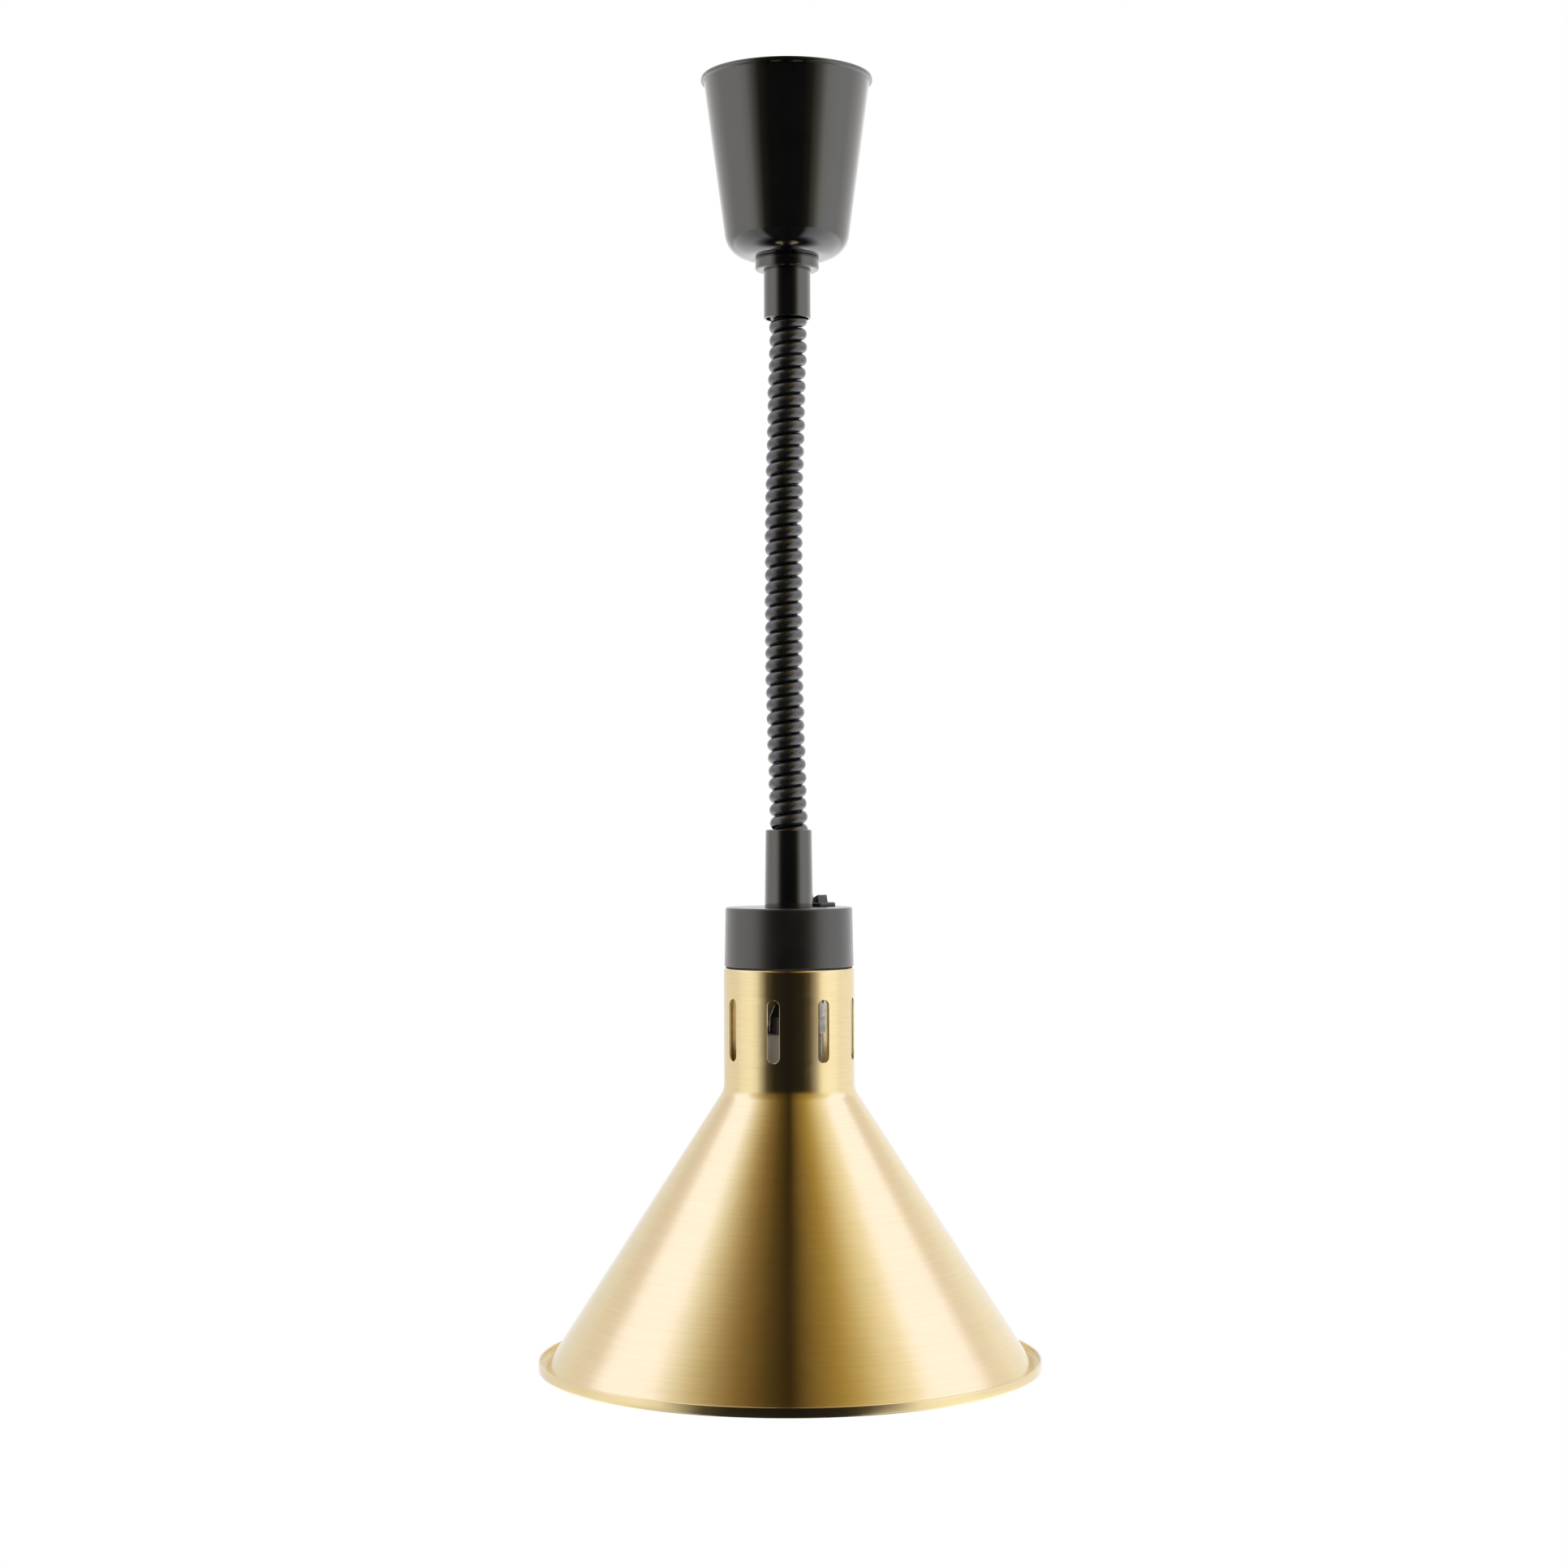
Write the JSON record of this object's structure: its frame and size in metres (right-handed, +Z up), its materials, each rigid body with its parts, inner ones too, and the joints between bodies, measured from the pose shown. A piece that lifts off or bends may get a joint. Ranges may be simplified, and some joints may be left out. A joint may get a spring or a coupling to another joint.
{
  "type": "heat lamp warmer",
  "caption": "Pendant heat lamp for keeping food warm: a conical metal shade with a reflector bulb, hung on a coiled cord from a tapered ceiling cup that holds a spring reel.",
  "frame": {"origin": "centre of the ceiling strap's top face, where the lamp meets the ceiling", "axes": "+Z up along the lamp's own axis, towards the ceiling; -Y is the front; the reel's axle lies along X"},
  "size_m": [0.27, 0.27, 0.6933],
  "materials": {
    "gloss_black": "gloss",
    "satin_black": "satin",
    "brushed_gold": "brushed and lacquered",
    "zinc_steel": "zinc plated",
    "dark_steel": "oiled",
    "spring_steel": "blued",
    "wire_steel": "stranded",
    "brass": "bright",
    "bronze": "sintered",
    "aluminium": "bright",
    "cord_black": "satin",
    "lead_brown": "silicone",
    "nylon": "moulded",
    "switch_black": "moulded",
    "fibre": "pressed fibre",
    "porcelain": "glazed ceramic",
    "bulb_glass": "reflector coated neck, clear face",
    "black_glass": "gloss",
    "stem_glass": "clear",
    "tungsten": "drawn"
  },
  "bodies": {
    "root": {"ceiling_strap": "zinc_steel", "reel_frame": "zinc_steel", "frame_screws": "dark_steel", "reel_axle": "dark_steel", "axle_clips": "spring_steel", "balance_spring": "spring_steel", "collar_tube": "gloss_black", "collar_nut": "dark_steel", "upper_cord_grip": "nylon", "upper_cord_tail": "cord_black", "terminal_block": "nylon", "terminal_inserts": "brass", "terminal_screws": "zinc_steel", "terminal_leads": "lead_brown", "coil_cord": "cord_black", "suspension_wire": "wire_steel"},
    "cup": {"ceiling_cup": "gloss_black", "lock_ring": "gloss_black", "lock_screw": "dark_steel"},
    "reel": {"wire_drum": "aluminium", "drum_cover": "aluminium", "drum_bushes": "bronze", "wire_winding": "wire_steel"},
    "lamp": {"lower_sleeve": "gloss_black", "lower_cord_grip": "nylon", "lower_cord_tail": "cord_black", "wire_bridge": "zinc_steel", "wire_ferrule": "brass", "hollow_nipple": "dark_steel", "nipple_nut": "dark_steel", "lamp_cap": "satin_black", "fibre_gasket": "fibre", "shade": "brushed_gold", "holder_bracket": "zinc_steel", "bracket_screws": "zinc_steel", "terminal_cover": "switch_black", "lampholder_body": "porcelain", "screw_shell": "brass", "centre_contact": "brass", "lamp_leads": "lead_brown", "switch_leads": "lead_brown", "switch_body": "switch_black", "switch_terminals": "brass", "rocker_pin": "zinc_steel", "bulb_cap": "aluminium", "bulb_insulator": "black_glass", "bulb_contact": "brass", "bulb_glass": "bulb_glass", "bulb_stem": "stem_glass", "bulb_filament": "tungsten"},
    "rocker": {"switch_rocker": "switch_black"}
  },
  "joints": [
    {"name": "lamp_drop", "type": "slide", "parent": "root", "child": "lamp", "axis": [0, 0, -1], "range_m": [0, 1.075], "deforming": ["coil_cord", "suspension_wire"]},
    {"name": "reel_spin", "type": "hinge", "parent": "root", "child": "reel", "pos_m": [0, 0.016, -0.03], "axis": [1, 0, 0], "range_deg": [0, 3860]},
    {"name": "cup_drop", "type": "slide", "parent": "root", "child": "cup", "axis": [0, 0, -1], "range_m": [0, 0.11]},
    {"name": "switch_rock", "type": "hinge", "parent": "lamp", "child": "rocker", "pos_m": [0.0138, 0.01549, -0.4454], "axis": [0.7071, 0.7071, 0], "range_deg": [0, 24]}
  ],
  "couplings": [
    {"joint": "reel_spin", "follows": "lamp_drop", "rad_per_m": 62.5}
  ]
}
